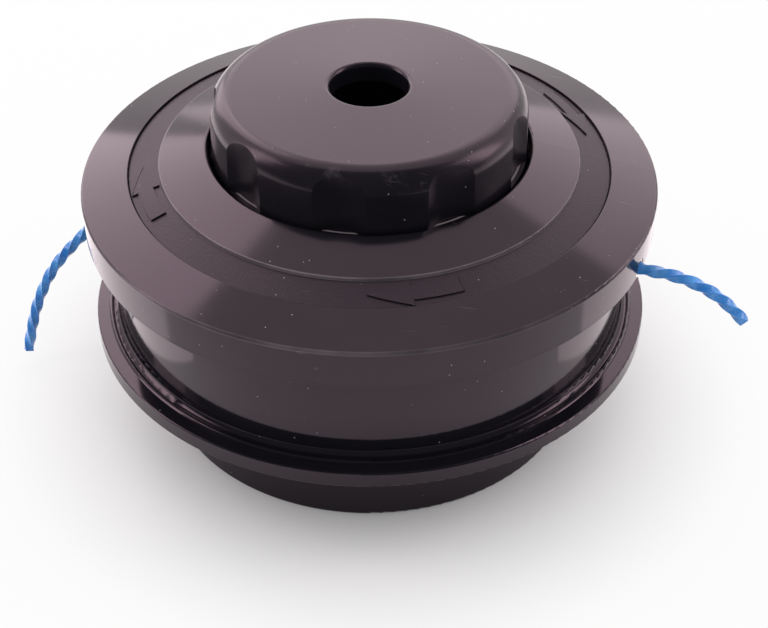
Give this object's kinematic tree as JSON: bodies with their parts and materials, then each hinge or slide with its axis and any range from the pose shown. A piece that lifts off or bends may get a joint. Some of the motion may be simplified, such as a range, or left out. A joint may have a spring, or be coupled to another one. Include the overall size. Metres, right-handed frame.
{
  "type": "trimmer head",
  "caption": "Bump-feed grass trimmer head: black stepped housing with a screw-on conical cap, a scalloped bump knob on a sprung spool, and blue twisted nylon line through metal eyelets.",
  "frame": {"origin": "centre of the hub's lower face, on the spindle axis, where the head stands on its hub", "axes": "+Z along the spindle axis from the hub to the knob; -Y towards the viewer of the picture, +X to the viewer's right"},
  "size_m": [0.1689, 0.13, 0.0831],
  "materials": {
    "housing_black": "black moulded nylon, glossy, faintly dusty",
    "cap_black": "black moulded nylon, glossy, with fine scuffs and dust",
    "knob_black": "black moulded nylon, satin top, edge rubbed bright",
    "spool_black": "black moulded nylon, matt",
    "zinc_steel": "zinc-plated steel",
    "spring_steel": "drawn spring wire",
    "eyelet_metal": "bright turned sleeve",
    "line_blue": "blue nylon, smooth"
  },
  "bodies": {
    "housing": {"housing": "housing_black", "stud_nut": "zinc_steel", "spring": "spring_steel"},
    "cap": {"cap": "cap_black", "eyelet_left": "eyelet_metal", "eyelet_right": "eyelet_metal", "line_lead_left": "line_blue", "line_lead_right": "line_blue", "line_end_left": "line_blue", "line_end_right": "line_blue"},
    "washer": {"thrust_washer": "zinc_steel"},
    "spool": {"spool": "spool_black", "line_winding": "line_blue", "knob": "knob_black"}
  },
  "joints": [
    {"name": "cap_lift", "type": "slide", "parent": "housing", "child": "cap", "axis": [0, 0, 1], "range_m": [0, 0.045]},
    {"name": "spool_press", "type": "slide", "parent": "cap", "child": "washer", "axis": [0, 0, 1], "range_m": [-0.007, 0], "stiffness_N_per_m": 900, "springref_m": 0.012, "deforming": ["spring", "line_lead_left", "line_lead_right"]},
    {"name": "spool_turn", "type": "hinge", "parent": "washer", "child": "spool", "pos_m": [0, 0, 0.0485], "axis": [0, 0, 1], "range_deg": [-30, 0]}
  ]
}
